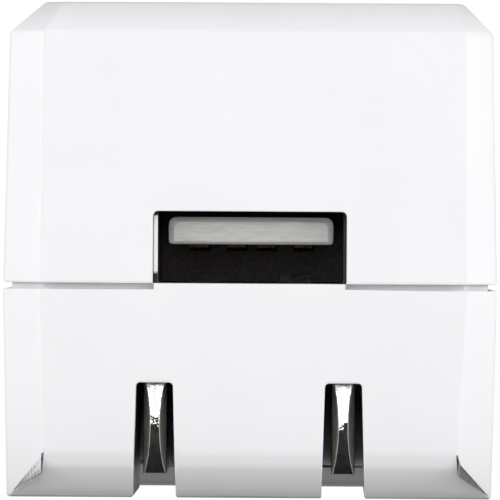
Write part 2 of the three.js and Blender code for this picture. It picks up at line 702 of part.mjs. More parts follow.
// A folded tube, with two sprung tabs rising from its floor to meet the plug.
function receptacleShell() {
  const inside = RECEPTACLE_INNER_WIDTH / 2;
  const innerTop = SHELL_TOP - SHELL_SHEET;
  const tube = rectangle([-SHELL_HALF, SHELL_HALF], [BOARD_TOP, SHELL_TOP], RECEPTACLE_CORNER_RADIUS);
  tube.holes.push(rectangle([-inside, inside], [SHELL_INSIDE, innerTop], RECEPTACLE_CORNER_RADIUS / 2));
  const arch = SHELL_INSIDE + GROUND_TAB_HEIGHT - SHELL_SHEET / 2;
  const root = SHELL_INSIDE - SHELL_SHEET / 2;
  const [rise, archFrom, archTo, fall] = [1.6, 3.4, 4.6, 7.6];
  const tab = prismX(strip([
    [SHELL_FRONT + rise, root],
    [SHELL_FRONT + archFrom, arch],
    [SHELL_FRONT + archTo, arch],
    [SHELL_FRONT + fall, root],
  ], SHELL_SHEET), [-GROUND_TAB_WIDTH / 2, GROUND_TAB_WIDTH / 2]);
  return unite([
    prismY(tube, [SHELL_FRONT, SHELL_BACK]),
    tab.translate([-GROUND_TAB_PLACE, 0, 0]),
    tab.translate([GROUND_TAB_PLACE, 0, 0]),
  ]);
}

// The tongue's section, wide corners above and tight ones below.
function tongueSection(inset) {
  const half = TONGUE_WIDTH / 2 - inset;
  const bottom = TONGUE_BOTTOM + inset * 0.5;
  const top = TONGUE_BOTTOM + TONGUE_HEIGHT - inset;
  return archway(half, half, bottom, top, TONGUE_CORNER_RADIUS);
}

// The slab and, in front of it, a smaller end whose rim slopes back to the full section.
function tongue() {
  const front = SHELL_FRONT + TONGUE_RECESS;
  const slab = prismY(tongueSection(0), [front + TONGUE_EDGE_CHAMFER, CARRIER_FRONT]);
  const rim = [0, TONGUE_EDGE_CHAMFER].flatMap((inset) => {
    const y = front + TONGUE_EDGE_CHAMFER - inset;
    return tongueSection(inset).getPoints(6).map((p) => new THREE.Vector3(p.x, y, p.y));
  });
  return slab.add(solid(new ConvexGeometry(rim)));
}

function contactLine() {
  const z = TONGUE_BOTTOM - CONTACT_SHEET / 2;
  const front = SHELL_FRONT + TONGUE_RECESS + 0.8;
  return { front, z };
}

// The block at the receptacle's back that carries the tongue and the contacts.
function carrier() {
  const half = RECEPTACLE_INNER_WIDTH / 2 - CARRIER_CLEARANCE;
  const innerTop = SHELL_TOP - SHELL_SHEET;
  const block = box(
    [-half, half],
    [CARRIER_FRONT, SHELL_BACK],
    [SHELL_INSIDE + CARRIER_CLEARANCE, innerTop - CARRIER_CLEARANCE],
  );
  const notches = CONTACT_PLACES.map((x) => box(
    [x - CONTACT_WIDTH / 2 - 0.1, x + CONTACT_WIDTH / 2 + 0.1],
    [CARRIER_FRONT - 1, SHELL_BACK + 1],
    [TONGUE_BOTTOM - CONTACT_SHEET - 0.25, TONGUE_BOTTOM + 0.1],
  ));
  return cut(block, notches);
}

function usbContact() {
  const { front, z } = contactLine();
  const back = SHELL_BACK + CONTACT_SHEET / 2 + 0.02;
  const shape = strip([
    [front, z],
    [front + 0.7, z],
    [front + 1.9, z - 0.25],
    [front + 3.1, z],
    [back, z],
    [back, BOARD_TOP],
  ], CONTACT_SHEET);
  return prismX(shape, [-CONTACT_WIDTH / 2, CONTACT_WIDTH / 2]);
}

// ---- Board and its parts --------------------------------------------------

function board() {
  const shape = outline([
    [-BOARD_X + BOARD_CORNER_CUT, -BOARD_Y],
    [BOARD_X - BOARD_CORNER_CUT, -BOARD_Y],
    [BOARD_X, -BOARD_Y + BOARD_CORNER_CUT],
    [BOARD_X, BOARD_Y - BOARD_CORNER_CUT],
    [BOARD_X - BOARD_CORNER_CUT, BOARD_Y],
    [-BOARD_X + BOARD_CORNER_CUT, BOARD_Y],
    [-BOARD_X, BOARD_Y - BOARD_CORNER_CUT],
    [-BOARD_X, -BOARD_Y + BOARD_CORNER_CUT],
  ]);
  return prismZ(shape, [BOARD_BOTTOM, BOARD_TOP]);
}

// A can with a rolled groove near its foot and an eased top, standing on z = 0.
function capacitor(radius, length) {
  return turned([
    [0, 0],
    [radius - 0.3, 0],
    [radius, 0.4],
    [radius, 1.0],
    [radius - 0.3, 1.4],
    [radius, 1.8],
    [radius, length - 0.4],
    [radius - 0.4, length],
    [0, length],
  ], 28);
}

// The same can lying along X, with both leads bent down to the board.
function lyingCapacitor(radius, length, height) {
  const can = capacitor(radius, length).rotate([0, -90, 0]).translate([length / 2, 0, 0]);
  const bend = length / 2 + 1.2;
  const leads = [-1.25, 1.25].map((y) => {
    const path = strip([[length / 2 - 0.5, 0], [bend, 0], [bend, -height]], 2 * LEAD_RADIUS);
    return prismY(path, [y - LEAD_RADIUS, y + LEAD_RADIUS]);
  });
  return unite([can, ...leads]);
}

// A body along Y with a lead at each end, bent down to the board.
function axialPart(radius, length, height) {
  const body = turned([
    [0, -length / 2],
    [radius * 0.7, -length / 2],
    [radius, -length / 2 + radius * 0.3],
    [radius, length / 2 - radius * 0.3],
    [radius * 0.7, length / 2],
    [0, length / 2],
  ], 20).rotate([90, 0, 0]);
  const bend = length / 2 + 0.8;
  const wire = strip(
    [[-bend, -height], [-bend, 0], [bend, 0], [bend, -height]],
    2 * LEAD_RADIUS,
  );
  return body.add(prismX(wire, [-LEAD_RADIUS, LEAD_RADIUS]));
}

function discCapacitor() {
  const disc = turned([
    [0, 0],
    [DISC_RADIUS - 0.6, 0],
    [DISC_RADIUS, 0.6],
    [DISC_RADIUS, DISC_THICKNESS - 0.6],
    [DISC_RADIUS - 0.6, DISC_THICKNESS],
    [0, DISC_THICKNESS],
  ], 28).rotate([0, 90, 0]).translate([-DISC_THICKNESS / 2, 0, DISC_RADIUS + 0.8]);
  const leads = [-2, 2].map((y) => {
    return rod(LEAD_RADIUS, DISC_RADIUS + 0.8, 8).translate([0, y, 0]);
  });
  return unite([disc, ...leads]);
}

function chokeCore() {
  return turned([
    [0, 0],
    [CHOKE_RADIUS, 0],
    [CHOKE_RADIUS, CHOKE_FLANGE],
    [CHOKE_WAIST, CHOKE_FLANGE],
    [CHOKE_WAIST, CHOKE_HEIGHT - CHOKE_FLANGE],
    [CHOKE_RADIUS, CHOKE_HEIGHT - CHOKE_FLANGE],
    [CHOKE_RADIUS, CHOKE_HEIGHT],
    [0, CHOKE_HEIGHT],
  ]);
}

function chokeWinding() {
  const inner = CHOKE_WAIST + CORE_CLEARANCE;
  const outer = CHOKE_RADIUS - WIRE_INSET;
  const low = CHOKE_FLANGE + CORE_CLEARANCE;
  const high = CHOKE_HEIGHT - CHOKE_FLANGE - CORE_CLEARANCE;
  return turned([[inner, low], [outer, low], [outer, high], [inner, high], [inner, low]]);
}

// Half of the transformer's core: a plate with three legs reaching to y = 0.
function coreHalf(side) {
  const half = CORE_HEIGHT / 2;
  const plate = span(side * (CORE_DEPTH / 2 - CORE_PLATE), side * (CORE_DEPTH / 2));
  const leg = span(0, side * (CORE_DEPTH / 2));
  return unite([
    box([-CORE_WIDTH / 2, CORE_WIDTH / 2], plate, [-half, half]),
    box([-CORE_LEG / 2, CORE_LEG / 2], leg, [-half, half]),
    box([-CORE_WIDTH / 2, CORE_PLATE - CORE_WIDTH / 2], leg, [-half, half]),
    box([CORE_WIDTH / 2 - CORE_PLATE, CORE_WIDTH / 2], leg, [-half, half]),
  ]);
}

// The bobbin's tube and flanges, half sizes
const TUBE_X = CORE_LEG / 2 + CORE_CLEARANCE + BOBBIN_WALL;
const TUBE_Z = CORE_HEIGHT / 2 + CORE_CLEARANCE + BOBBIN_WALL;
const FLANGE_X = CORE_WIDTH / 2 - CORE_PLATE - CORE_CLEARANCE;
const FLANGE_Y = CORE_DEPTH / 2 - CORE_PLATE - CORE_CLEARANCE;

function bobbin() {
  const tall = [-BOBBIN_HEIGHT / 2, BOBBIN_HEIGHT / 2];
  const flanges = [-1, 1].map((side) => box(
    [-FLANGE_X, FLANGE_X],
    span(side * FLANGE_Y, side * (FLANGE_Y - BOBBIN_FLANGE)),
    tall,
  ));
  const tube = box([-TUBE_X, TUBE_X], [-FLANGE_Y, FLANGE_Y], [-TUBE_Z, TUBE_Z]);
  const bore = box(
    [BOBBIN_WALL - TUBE_X, TUBE_X - BOBBIN_WALL],
    [-CORE_DEPTH, CORE_DEPTH],
    [BOBBIN_WALL - TUBE_Z, TUBE_Z - BOBBIN_WALL],
  );
  return cut(unite([tube, ...flanges]), [bore]);
}

function transformerWinding() {
  const gap = CORE_CLEARANCE / 2;
  const halfX = FLANGE_X - CORE_CLEARANCE;
  const halfZ = BOBBIN_HEIGHT / 2 - WINDING_INSET;
  const outer = rectangle([-halfX, halfX], [-halfZ, halfZ], WINDING_CORNER_RADIUS);
  outer.holes.push(rectangle([-TUBE_X - gap, TUBE_X + gap], [-TUBE_Z - gap, TUBE_Z + gap], 0.01));
  const reach = FLANGE_Y - BOBBIN_FLANGE - gap;
  return prismY(outer, [-reach, reach]);
}

// A moulded package under the board, with its legs in two rows along X.
function chipPackage(length, width, legs) {
  const corner = (z, inset) => [-1, 1].flatMap((sx) => [-1, 1].map((sy) => (
    new THREE.Vector3(sx * (length / 2 - inset), sy * (width / 2 - inset), z)
  )));
  const body = solid(new ConvexGeometry([
    ...corner(-CHIP_HEIGHT, CHIP_DRAFT),
    ...corner(-CHIP_HEIGHT / 2, 0),
    ...corner(-CHIP_STANDOFF, CHIP_DRAFT),
  ]));
  const leads = [];
  for (let i = 0; i < legs; i += 1) {
    const x = (i - (legs - 1) / 2) * (length / (legs + 0.3));
    const bent = strip([
      [-width / 2 - 1.1, -CHIP_LEG_SHEET / 2],
      [-width / 2 - 0.6, -CHIP_LEG_SHEET / 2],
      [-width / 2 - 0.4, -CHIP_HEIGHT / 2],
      [0, -CHIP_HEIGHT / 2],
    ], CHIP_LEG_SHEET);
    const lead = prismX(bent, [x - CHIP_LEG_WIDTH / 2, x + CHIP_LEG_WIDTH / 2]);
    leads.push(lead, lead.mirror([0, 1, 0]));
  }
  return unite([body, ...leads]);
}

// ---- Assembly -------------------------------------------------------------

const charger = new THREE.Group();
const prongs = new THREE.Group();
const receptacle = new THREE.Group();
const transformer = new THREE.Group();
prongs.position.set(0, PIVOT_Y, PIVOT_Z);
receptacle.position.set(RECEPTACLE_OFFSET, 0, 0);
transformer.position.set(CORE_X, CORE_Y, CORE_Z);
charger.add(prongs, receptacle, transformer);

const FINISHES = {
  casePlastic: [0xf0f0f1, 0.42, 0],
  rotorPlastic: [0xe9e9ea, 0.5, 0],
  clampPlastic: [0xd8d8d6, 0.55, 0],
  nickelBrass: [0xb9b7b0, 0.28, 1],
  zincSteel: [0xa9abad, 0.4, 1],
  springBronze: [0xb98a55, 0.38, 1],
  tinnedSteel: [0xb7b8ba, 0.32, 1],
  tonguePlastic: [0xc9c9c8, 0.5, 0],
  carrierPlastic: [0x1b1a19, 0.6, 0],
  goldPlate: [0xc8a24c, 0.3, 1],
  boardLaminate: [0x2f6b3a, 0.5, 0],
  bobbinPlastic: [0x23211f, 0.6, 0],
  ferrite: [0x3a3b3d, 0.7, 0],
  windingTape: [0xd9b63a, 0.45, 0],
  copperWire: [0xa5572c, 0.35, 1],
  capacitorSleeve: [0x22272f, 0.4, 0],
  discCoating: [0x2c62a8, 0.45, 0],
  resistorCoating: [0x7ba07a, 0.55, 0],
  packageEpoxy: [0x202124, 0.6, 0],
  barrierSheet: [0xe8e2cf, 0.5, 0],
};

function place(name, shape, finish, at = [0, 0, 0], group = charger) {
  const [color, roughness, metalness] = FINISHES[finish];
  const material = new THREE.MeshStandardMaterial({ color, roughness, metalness });
  const mesh = new THREE.Mesh(geometryOf(shape), material);
  mesh.name = name;
  mesh.position.set(...at);
  group.add(mesh);
}

place('upper_case', upperCase(), 'casePlastic');
place('lower_case', lowerCase(), 'casePlastic');

place('prong_rotor', rotor(), 'rotorPlastic', [0, 0, 0], prongs);
place('left_blade', blade(), 'nickelBrass', [-BLADE_X, 0, 0], prongs);
place('right_blade', blade(), 'nickelBrass', [BLADE_X, 0, 0], prongs);

place('rotor_clamp', rotorClamp(), 'clampPlastic');
place('detent_spring', detentSpring(), 'springBronze');
for (const [side, name] of [[-1, 'left'], [1, 'right']]) {
  const seat = CLAMP_BOTTOM + CLAMP_HEIGHT;
  place(`clamp_screw_${name}`, screw(), 'zincSteel', [side * SCREW_X, SCREW_Y, seat]);
  place(`contact_spring_${name}`, contactSpring(), 'springBronze', [side * BLADE_X, 0, 0]);
}

place('usb_shell', receptacleShell(), 'tinnedSteel', [0, 0, 0], receptacle);
place('usb_tongue', tongue(), 'tonguePlastic', [0, 0, 0], receptacle);
place('usb_carrier', carrier(), 'carrierPlastic', [0, 0, 0], receptacle);
CONTACT_PLACES.forEach((x, i) => {
  place(`usb_contact_${i + 1}`, usbContact(), 'goldPlate', [x, 0, 0], receptacle);
});

place('circuit_board', board(), 'boardLaminate');

place('transformer_bobbin', bobbin(), 'bobbinPlastic', [0, 0, 0], transformer);
place('transformer_winding', transformerWinding(), 'windingTape', [0, 0, 0], transformer);
place('transformer_core_front', coreHalf(-1), 'ferrite', [0, 0, 0], transformer);
place('transformer_core_back', coreHalf(1), 'ferrite', [0, 0, 0], transformer);

const bulkZ = SHELL_TOP + PART_GAP + BULK_CAPACITOR_RADIUS;
const bulkLength = BULK_CAPACITOR_LENGTH;
place(
  'bulk_capacitor_1',
  lyingCapacitor(BULK_CAPACITOR_RADIUS, bulkLength, bulkZ - BOARD_TOP),
  'capacitorSleeve',
  [0, -BOARD_Y + BULK_CAPACITOR_RADIUS, bulkZ],
);
const leftEdge = PART_GAP - BOARD_X;
place(
  'bulk_capacitor_2',
  capacitor(BULK_CAPACITOR_RADIUS, bulkLength),
  'capacitorSleeve',
  [leftEdge + BULK_CAPACITOR_RADIUS, BOARD_Y - PART_GAP - BULK_CAPACITOR_RADIUS, BOARD_TOP],
);
const outputPitch = 2 * OUTPUT_CAPACITOR_RADIUS + PART_GAP;
for (const i of [0, 1]) {
  const y = -BOARD_Y + BOARD_CORNER_CUT + OUTPUT_CAPACITOR_RADIUS + i * outputPitch;
  place(
    `output_capacitor_${i + 1}`,
    capacitor(OUTPUT_CAPACITOR_RADIUS, OUTPUT_CAPACITOR_LENGTH),
    'capacitorSleeve',
    [leftEdge + OUTPUT_CAPACITOR_RADIUS, y, BOARD_TOP],
  );
}
const chokeAt = [
  leftEdge + BULK_CAPACITOR_RADIUS,
  BOARD_Y - 2 * PART_GAP - 2 * BULK_CAPACITOR_RADIUS - CHOKE_RADIUS,
  BOARD_TOP,
];
place('filter_choke_core', chokeCore(), 'ferrite', chokeAt);
place('filter_choke_winding', chokeWinding(), 'copperWire', chokeAt);

const rightEdge = BOARD_X - PART_GAP;
place(
  'fuse_resistor',
  axialPart(RESISTOR_RADIUS, RESISTOR_LENGTH, RESISTOR_RADIUS + PART_GAP),
  'resistorCoating',
  [rightEdge - RESISTOR_RADIUS, CORE_Y + RESISTOR_LENGTH / 3, BOARD_TOP + RESISTOR_RADIUS + PART_GAP],
);
const diodeHeight = DIODE_RADIUS + PART_GAP;
const diodeY = -BOARD_Y + BOARD_CORNER_CUT + DIODE_LENGTH / 2 + 1;
place(
  'output_diode',
  axialPart(DIODE_RADIUS, DIODE_LENGTH, diodeHeight),
  'packageEpoxy',
  [rightEdge - DIODE_RADIUS, diodeY, BOARD_TOP + diodeHeight],
);
place(
  'y_capacitor',
  discCapacitor(),
  'discCoating',
  [rightEdge - DISC_THICKNESS / 2, SHEET_Y, BOARD_TOP],
);
place(
  'controller_chip',
  chipPackage(CONTROLLER_LENGTH, CONTROLLER_WIDTH, 4),
  'packageEpoxy',
  [0, SHELL_FRONT + RECEPTACLE_LENGTH / 2, BOARD_BOTTOM],
);
place(
  'bridge_rectifier',
  chipPackage(RECTIFIER_LENGTH, RECTIFIER_WIDTH, 2),
  'packageEpoxy',
  [0, BOARD_Y - RECTIFIER_FROM_EDGE, BOARD_BOTTOM],
);
const sheet = box(
  [-SHELL_HALF, CORE_X + CORE_WIDTH / 2],
  [SHEET_Y, SHEET_Y + SHEET_THICKNESS],
  [BOARD_TOP, CORE_Z + CORE_HEIGHT],
);
place('insulating_sheet', sheet, 'barrierSheet');

export default charger;
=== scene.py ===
# %% [markdown]
# # A wall charger with folding blades
#
# This lesson dresses a small white charger in Blender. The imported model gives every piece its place
# and size, in metres: X to the right, Y to the back and Z up, with the wall face on z = 0. Here each
# piece gets its soft edges, its fine details and the look of its real material.

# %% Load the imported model
import math

import bmesh
import bpy
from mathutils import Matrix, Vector


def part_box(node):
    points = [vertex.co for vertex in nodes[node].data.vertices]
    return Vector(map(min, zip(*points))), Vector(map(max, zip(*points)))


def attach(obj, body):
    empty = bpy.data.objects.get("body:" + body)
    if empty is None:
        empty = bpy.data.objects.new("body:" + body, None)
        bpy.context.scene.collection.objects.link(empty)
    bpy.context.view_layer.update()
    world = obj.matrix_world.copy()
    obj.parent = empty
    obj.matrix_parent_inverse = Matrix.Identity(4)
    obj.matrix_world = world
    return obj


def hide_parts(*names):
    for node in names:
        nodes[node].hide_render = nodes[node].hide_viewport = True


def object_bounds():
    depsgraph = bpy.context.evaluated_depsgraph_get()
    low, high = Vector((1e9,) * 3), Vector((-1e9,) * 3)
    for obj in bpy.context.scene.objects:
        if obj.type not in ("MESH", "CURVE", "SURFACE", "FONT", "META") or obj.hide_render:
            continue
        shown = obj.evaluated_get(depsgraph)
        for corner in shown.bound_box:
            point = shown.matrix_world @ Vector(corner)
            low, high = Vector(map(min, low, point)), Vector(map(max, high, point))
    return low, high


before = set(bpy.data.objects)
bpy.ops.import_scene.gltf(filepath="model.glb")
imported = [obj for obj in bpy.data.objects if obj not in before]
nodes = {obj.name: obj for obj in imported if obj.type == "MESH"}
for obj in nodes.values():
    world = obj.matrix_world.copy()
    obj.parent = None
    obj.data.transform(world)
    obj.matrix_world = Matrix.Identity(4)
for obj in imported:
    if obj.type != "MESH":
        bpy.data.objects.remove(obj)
cad_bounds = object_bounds()
MM = 0.001
print("pieces in the frame:", len(nodes))

# %% [markdown]
# ## Measures
#
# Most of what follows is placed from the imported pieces' own boxes. The heights of the crowned slopes,
# the radius rules' reaches, the parting line and the camera are numbers of their own, and they need a
# look when the model's sizes change.

# %% Read the places that the scene needs
case_low, case_high = cad_bounds
seam_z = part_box("upper_case")[0].z
port_low, port_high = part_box("usb_shell")
blade_low, blade_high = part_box("left_blade")
tongue_low, tongue_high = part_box("usb_tongue")
middle = (case_low + case_high) / 2
print("case, mm:", [round(v / MM, 2) for v in (case_high - case_low)])

# %% [markdown]
# ## Helpers for materials
#
# Colours are written as sRGB hex, because that is how people name them, and turned to the linear
# numbers that the renderer works in. One function adds a node with its settings and its links, so a
# material reads as a short recipe. Patterns read Object coordinates, which are metres here, so a
# pattern's scale is one over its real size.

# %% Colour, node and pattern helpers
def colour(hex_code):
    channels = [int(hex_code[i:i + 2], 16) / 255 for i in (1, 3, 5)]
    linear = [c / 12.92 if c <= 0.04045 else ((c + 0.055) / 1.055) ** 2.4 for c in channels]
    return (*linear, 1.0)


def add_node(tree, kind, values=None, links=None, **settings):
    made = tree.nodes.new(kind)
    for name, value in settings.items():
        setattr(made, name, value)
    for name, value in (values or {}).items():
        made.inputs[name].default_value = value
    for name, source in (links or {}).items():
        tree.links.new(source, made.inputs[name])
    return made


def math_of(tree, operation, first, second):
    made = add_node(tree, "ShaderNodeMath", links={0: first, 1: second}, operation=operation)
    return made.outputs["Value"]


def parts_of(tree, vector):
    return add_node(tree, "ShaderNodeSeparateXYZ", links={"Vector": vector}).outputs


def unit(tree, vector):
    made = add_node(tree, "ShaderNodeVectorMath", links={0: vector}, operation="NORMALIZE")
    return made.outputs["Vector"]


def new_material(name, base, roughness, metallic=0.0, **sockets):
    material = bpy.data.materials.new(name)
    material.use_nodes = True
    tree = material.node_tree
    shader = tree.nodes["Principled BSDF"]
    shader.inputs["Base Color"].default_value = colour(base)
    shader.inputs["Roughness"].default_value = roughness
    shader.inputs["Metallic"].default_value = metallic
    for socket, value in sockets.items():
        shader.inputs[socket.replace("_", " ")].default_value = value
    place = add_node(tree, "ShaderNodeTexCoord").outputs["Object"]
    return material, tree, shader, place


def speckle(tree, place, size_mm, detail=2.0, stretch=(1, 1, 1), roughness=0.5):
    at = add_node(tree, "ShaderNodeMapping", {"Scale": stretch}, {"Vector": place})
    return add_node(
        tree, "ShaderNodeTexNoise",
        {"Scale": 1 / (size_mm * MM), "Detail": detail, "Roughness": roughness},
        {"Vector": at.outputs["Vector"]},
    ).outputs["Fac"]


def spread(tree, source, low, high, start=0.3, end=0.7):
    return add_node(
        tree, "ShaderNodeMapRange",
        {"From Min": start, "From Max": end, "To Min": low, "To Max": high},
        {"Value": source},
    ).outputs["Result"]


def tint(tree, shader, factor, first, second, start=0.35, end=0.65):
    ramp = add_node(tree, "ShaderNodeValToRGB", links={"Fac": factor})
    ramp.color_ramp.elements[0].position = start
    ramp.color_ramp.elements[0].color = colour(first)
    ramp.color_ramp.elements[1].position = end
    ramp.color_ramp.elements[1].color = colour(second)
    tree.links.new(ramp.outputs["Color"], shader.inputs["Base Color"])


def relief(tree, shader, height, depth_mm, normal=None):
    links = {"Height": height}
    if normal is not None:
        links["Normal"] = normal
    bump = add_node(tree, "ShaderNodeBump", {"Distance": depth_mm * MM}, links)
    tree.links.new(bump.outputs["Normal"], shader.inputs["Normal"])


print("material helpers ready")

# %% [markdown]
# ## White moulded plastic
#
# The case is injection-moulded PC/ABS, from a mould whose steel was spark-eroded to a fine, even
# grain. It gives a clean, slightly cool white with a broad soft shine, never a mirror. The real
# grain is about 0.05 mm, too fine to show here, so it is drawn at 0.22 mm and very shallow.

# %% The crown of the case's slopes
NOSE_MM, NOSE_TURN = 2.5, (0.0, 0.60)
CROWN_MM, CROWN_TURN = 2.05, (-0.40, 0.50)
SLOPE_BLANK, SLOPE_FULL = 0.3, 0.6


def crowned_normal(tree, place):
    """The slopes above and below the front wall bulge slightly: turn their normals with height."""
    normal = add_node(tree, "ShaderNodeNewGeometry").outputs["Normal"]
    height = parts_of(tree, place)["Z"]
    facing = parts_of(tree, normal)["Z"]
    top_z = case_high.z
    lifts = []
    for start, end, turns, way in (
        (0, NOSE_MM * MM, NOSE_TURN, -1),
        (top_z - CROWN_MM * MM, top_z, CROWN_TURN, 1),
    ):
        turn = spread(tree, height, *turns, start, end)
        slope = spread(tree, facing, 0, 1, way * SLOPE_BLANK, way * SLOPE_FULL)
        lifts.append(math_of(tree, "MULTIPLY", turn, slope))
    lift = math_of(tree, "ADD", *lifts)
    along_z = add_node(tree, "ShaderNodeCombineXYZ", links={"Z": lift}).outputs["Vector"]
    tilted = add_node(
        tree, "ShaderNodeVectorMath", links={0: normal, 1: along_z}, operation="ADD",
    ).outputs["Vector"]
    return unit(tree, tilted)


print("crown of the slopes, mm:", NOSE_MM, CROWN_MM)


# %% Crevices, drawn in painted shade
# Each is (reach in mm, share of colour kept, openness where that is reached, openness of clear plastic).
NARROW = (0.9, 0.9, 0.25, 0.62)
DEEP = (3.5, 0.10, 0.06, 0.26)
FOOT_LIT_MM, FOOT_SHADED_MM = 1.6, 3.0


def crevice_share(tree, reach_mm, kept, shut, clear):
    openness = add_node(
        tree, "ShaderNodeAmbientOcclusion", {"Distance": reach_mm * MM}, samples=8,
    ).outputs["AO"]
    return spread(tree, openness, kept, 1, shut, clear)


def shade_crevices(tree, shader, place):
    """Painted shade: narrow gaps are drawn a little darker. Deep slots are almost black, except close to
    the foot.
    """
    unshaded_colour = shader.inputs["Base Color"].links[0].from_socket
    narrow = crevice_share(tree, *NARROW)
    deep = crevice_share(tree, *DEEP)
    near_foot = spread(tree, parts_of(tree, place)["Z"], 1, 0, FOOT_LIT_MM * MM, FOOT_SHADED_MM * MM)
    share = math_of(tree, "MULTIPLY", narrow, math_of(tree, "MAXIMUM", deep, near_foot))
    shaded = add_node(
        tree, "ShaderNodeVectorMath", links={0: unshaded_colour, "Scale": share}, operation="SCALE",
    ).outputs["Vector"]
    tree.links.new(shaded, shader.inputs["Base Color"])


print("crevice shading ready")


# %% Case and rotor plastics
GRAIN_DEPTH_MM = 0.0035


def moulded_white(name, light, dark, roughness, grain_mm=0.22, crowned=False):
    material, tree, shader, place = new_material(name, light, roughness, IOR=1.52)
    cloud = speckle(tree, place, 6.0, 3)
    tint(tree, shader, cloud, dark, light)
    grain = speckle(tree, place, grain_mm, 2)
    tree.links.new(spread(tree, grain, roughness - 0.04, roughness + 0.05), shader.inputs["Roughness"])
    relief(tree, shader, grain, GRAIN_DEPTH_MM, crowned_normal(tree, place) if crowned else None)
    shade_crevices(tree, shader, place)
    return material


case_white = moulded_white("moulded_white_abs", "#f3f3f5", "#f1f1f3", 0.40, crowned=True)
rotor_white = moulded_white("moulded_rotor_nylon", "#ececec", "#e6e6e7", 0.48)
clamp_white = moulded_white("moulded_natural_nylon", "#dcdbd5", "#d2d1ca", 0.52, 0.3)
print("white plastics ready")

# %% [markdown]
# ## Nickel-plated blades
#
# The blades are stamped from brass strip and plated with nickel. Their broad faces keep the faint
# lengthwise lines of the rolling, and their ends keep the coarse torn grain of the shear, which the
# thin plating doesn't fill. The two slopes beside each end were pressed, and are duller; their darker
# grey is painted shade. So a blade takes three materials: satin rolled, rough sheared and dull coined.
# The sheared one also turns its normals, so that the part above a ragged line is bright and the part
# below it is dark. That is shading only: the end's mesh has one smooth crown.

# %% Blade metals
def rolled_nickel():
    material, tree, shader, place = new_material("nickel_plated_brass_rolled", "#c9c5bc", 0.24, 1.0)
    lines = speckle(tree, place, 0.12, 3, (1, 0.04, 1))
    blotch = speckle(tree, place, 1.6, 4)
    tint(tree, shader, blotch, "#b5b1a8", "#d3d0c8")
    tree.links.new(spread(tree, lines, 0.17, 0.34), shader.inputs["Roughness"])
    relief(tree, shader, lines, 0.004)
    return material


def turned(tree, vector, start, end):
    return add_node(
        tree, "ShaderNodeVectorTransform", links={"Vector": vector},
        vector_type="NORMAL", convert_from=start, convert_to=end,
    ).outputs["Vector"]


RAGGED_MM = 3.6
BREAK_LIFT_MM, BREAK_HALF_MM = 1.7, 0.5
LEAN_BELOW, LEAN_ABOVE = -0.25, 0.055


def sheared_normal(tree, place, torn):
    """Above a ragged line the end is shaded as upright; below it, as leaning inwards."""
    normal = add_node(tree, "ShaderNodeNewGeometry").outputs["Normal"]
    across = parts_of(tree, turned(tree, normal, "WORLD", "OBJECT"))["X"]
    ragged = add_node(
        tree, "ShaderNodeMath", {1: RAGGED_MM * MM}, {0: torn, 2: parts_of(tree, place)["Z"]},
        operation="MULTIPLY_ADD",
    ).outputs["Value"]
    middle_z = (blade_low.z + blade_high.z) / 2 + BREAK_LIFT_MM * MM
    half = BREAK_HALF_MM * MM
    lean = spread(tree, ragged, LEAN_BELOW, LEAN_ABOVE, middle_z - half, middle_z + half)
    facing = add_node(tree, "ShaderNodeCombineXYZ", {"Y": -1.0}, {"X": across, "Z": lean})
    return unit(tree, turned(tree, facing.outputs["Vector"], "OBJECT", "WORLD"))


def sheared_nickel():
    material, tree, shader, place = new_material("nickel_plated_brass_sheared", "#eeecea", 0.18, 1.0)
    torn = speckle(tree, place, 0.42, 5, (1, 1, 0.7), 0.65)
    pits = speckle(tree, place, 0.16, 2)
    tint(tree, shader, torn, "#b9b6b0", "#efeeec", 0.36, 0.5)
    tree.links.new(spread(tree, pits, 0.08, 0.18), shader.inputs["Roughness"])
    height = math_of(tree, "ADD", torn, pits)
    relief(tree, shader, height, 0.013, sheared_normal(tree, place, torn))
    return material


def coined_nickel_painted_shade():
    # Painted shade: the slopes' darker grey colour. Their dull finish is their roughness.
    material, tree, shader, place = new_material("nickel_plated_brass_coined_painted_shade", "#8f8a83", 0.6, 0.25)
    drag = speckle(tree, place, 0.2, 3, (1, 1, 0.15))
    tint(tree, shader, drag, "#7d7871", "#a19c95")
    relief(tree, shader, drag, 0.006)
    return material


blade_face = rolled_nickel()
blade_end = sheared_nickel()
blade_slope_painted_shade = coined_nickel_painted_shade()
print("blade metals ready")

# %% [markdown]
# ## Socket materials
#
# The socket's shell is folded from tin-plated steel: grey and slightly streaked. Its cut front edge is
# drawn white at the left, a painted highlight, and dark brown towards the right, the top and the bottom,
# painted shade. The tongue is light thermoplastic polyester with a fine grain. The block behind it is
# drawn dark, and the contacts, gold-flashed bronze, almost black: both are painted shade.

# %% Socket plastics and metals
def tinned_steel():
    material, tree, shader, place = new_material("tin_plated_steel", "#b9b8b4", 0.34, 1.0)
    streak = speckle(tree, place, 0.25, 4, (1, 0.08, 1))
    stain = speckle(tree, place, 1.3, 4)
    tint(tree, shader, stain, "#8a807a", "#bdb8b3", 0.42, 0.62)
    tree.links.new(spread(tree, streak, 0.26, 0.46), shader.inputs["Roughness"])
    relief(tree, shader, streak, 0.004)
    return material


# Where the cut edge's painted shade begins and ends, in mm.
EDGE_PAINTED_SHADE_X_MM = 5
EDGE_PAINTED_SHADE_BOTTOM_MM = (0.8, 1.2)
EDGE_PAINTED_SHADE_TOP_MM = (1.0, 0.8)


